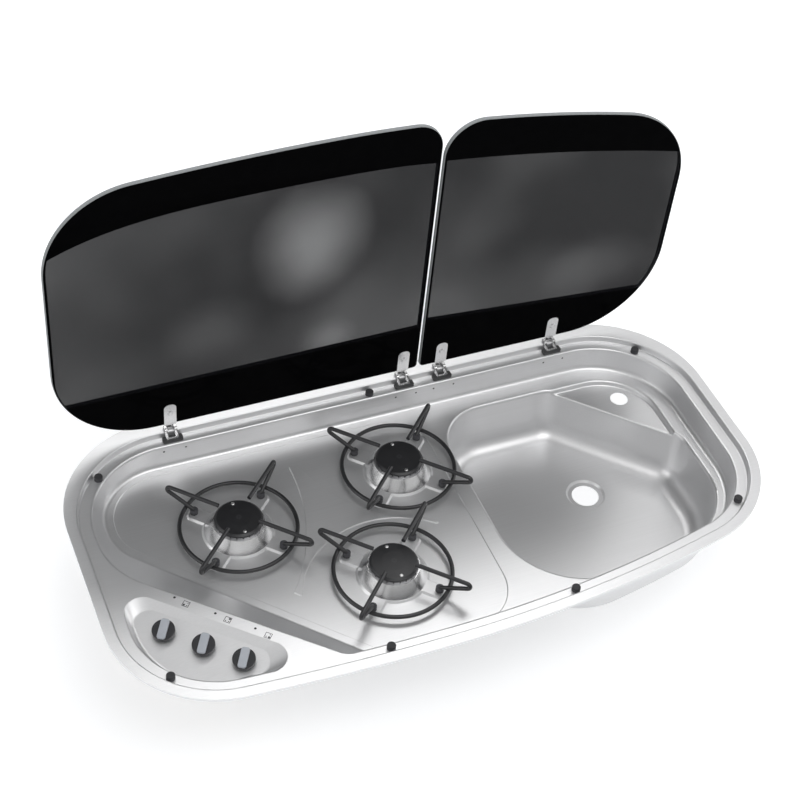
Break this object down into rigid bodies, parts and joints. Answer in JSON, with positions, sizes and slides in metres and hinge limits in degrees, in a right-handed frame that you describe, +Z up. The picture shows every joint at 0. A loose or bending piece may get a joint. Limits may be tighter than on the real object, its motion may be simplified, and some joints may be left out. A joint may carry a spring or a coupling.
{
  "type": "hob and sink unit with glass lids",
  "caption": "Inset stainless steel hob and sink unit with rounded rim, sloping control recess, gas burners with wire trivets, oval sink bowl with tap shelf, and hinged dark glass lids.",
  "frame": {"origin": "plan centre of the rim, on the worktop surface that the rim seal lies on", "axes": "+Z up, +X to the right with the sink on the right, +Y to the back where the lids are hinged"},
  "size_m": [0.9, 0.468, 0.559],
  "materials": {
    "steel": "fine brushed stainless sheet, satin",
    "seal": "matte foam strip",
    "rubber": "matte",
    "polished_skirt": "polished",
    "burner_alloy": "cast, darkened",
    "enamel": "semi-matte black enamel",
    "enamel_wire": "satin black enamel",
    "rivet_steel": "plain",
    "brass": "machined",
    "knob_black": "matte",
    "knob_grey": "satin metallic grey",
    "pipe_steel": "zinc plated",
    "copper_pipe": "drawn copper",
    "lid_glass": "toughened glass with black print",
    "hinge_steel": "bright",
    "hinge_plastic": "matte"
  },
  "bodies": {
    "pan": {"sink_pan": "steel", "sink_bowl": "steel", "tap_shelf": "steel", "rim_seal": "seal", "lid_buffers": "rubber", "burner_skirt_left": "polished_skirt", "burner_head_left": "burner_alloy", "burner_cap_left": "enamel", "burner_cup_left": "burner_alloy", "burner_skirt_back": "polished_skirt", "burner_head_back": "burner_alloy", "burner_cap_back": "enamel", "burner_cup_back": "burner_alloy", "burner_skirt_front": "polished_skirt", "burner_head_front": "burner_alloy", "burner_cap_front": "enamel", "burner_cup_front": "burner_alloy", "cap_rivets": "rivet_steel", "injectors": "brass", "gas_tap_left": "brass", "gas_tap_middle": "brass", "gas_tap_right": "brass", "gas_rail": "pipe_steel", "gas_inlet": "copper_pipe", "feed_pipe_left": "pipe_steel", "feed_pipe_back": "pipe_steel", "feed_pipe_front": "pipe_steel", "hinge_bases": "hinge_plastic", "hinge_brackets": "hinge_steel", "hinge_pins": "hinge_steel"},
    "hob_lid": {"hob_lid_glass": "lid_glass", "hinge_leaves_hob": "hinge_steel", "hinge_bolts_hob": "hinge_steel"},
    "sink_lid": {"sink_lid_glass": "lid_glass", "hinge_leaves_sink": "hinge_steel", "hinge_bolts_sink": "hinge_steel"},
    "trivet_left_frame": {"trivet_left": "enamel_wire", "trivet_feet_left": "rubber"},
    "trivet_back_frame": {"trivet_back": "enamel_wire", "trivet_feet_back": "rubber"},
    "trivet_front_frame": {"trivet_front": "enamel_wire", "trivet_feet_front": "rubber"},
    "spindle_left": {"tap_spindle_left": "brass"},
    "knob_left_cap": {"knob_left": "knob_black", "knob_grip_left": "knob_grey"},
    "spindle_middle": {"tap_spindle_middle": "brass"},
    "knob_middle_cap": {"knob_middle": "knob_black", "knob_grip_middle": "knob_grey"},
    "spindle_right": {"tap_spindle_right": "brass"},
    "knob_right_cap": {"knob_right": "knob_black", "knob_grip_right": "knob_grey"}
  },
  "joints": [
    {"name": "hob_lid_hinge", "type": "hinge", "parent": "pan", "child": "hob_lid", "pos_m": [-0.115, 0.2145, 0.0077], "axis": [1, 0, 0], "range_deg": [0, 88.9]},
    {"name": "sink_lid_hinge", "type": "hinge", "parent": "pan", "child": "sink_lid", "pos_m": [0.1905, 0.2145, 0.0077], "axis": [1, 0, 0], "range_deg": [0, 88.9]},
    {"name": "trivet_left_lift", "type": "slide", "parent": "pan", "child": "trivet_left_frame", "axis": [0, 0, 1], "range_m": [0, 0.06]},
    {"name": "trivet_back_lift", "type": "slide", "parent": "pan", "child": "trivet_back_frame", "axis": [0, 0, 1], "range_m": [0, 0.06]},
    {"name": "trivet_front_lift", "type": "slide", "parent": "pan", "child": "trivet_front_frame", "axis": [0, 0, 1], "range_m": [0, 0.06]},
    {"name": "knob_left_turn", "type": "hinge", "parent": "pan", "child": "spindle_left", "pos_m": [-0.37944, -0.09354, -0.01256], "axis": [-0.1177, -0.1276, 0.9848], "range_deg": [0, 180]},
    {"name": "knob_left_push", "type": "slide", "parent": "spindle_left", "child": "knob_left_cap", "axis": [0.1177, 0.1276, -0.9848], "range_m": [0, 0.0026], "stiffness_N_per_m": 2500, "springref_m": -0.0008},
    {"name": "knob_middle_turn", "type": "hinge", "parent": "pan", "child": "spindle_middle", "pos_m": [-0.341, -0.129, -0.01256], "axis": [-0.1177, -0.1276, 0.9848], "range_deg": [0, 180]},
    {"name": "knob_middle_push", "type": "slide", "parent": "spindle_middle", "child": "knob_middle_cap", "axis": [0.1177, 0.1276, -0.9848], "range_m": [0, 0.0026], "stiffness_N_per_m": 2500, "springref_m": -0.0008},
    {"name": "knob_right_turn", "type": "hinge", "parent": "pan", "child": "spindle_right", "pos_m": [-0.30256, -0.16446, -0.01256], "axis": [-0.1177, -0.1276, 0.9848], "range_deg": [0, 180]},
    {"name": "knob_right_push", "type": "slide", "parent": "spindle_right", "child": "knob_right_cap", "axis": [0.1177, 0.1276, -0.9848], "range_m": [0, 0.0026], "stiffness_N_per_m": 2500, "springref_m": -0.0008}
  ]
}
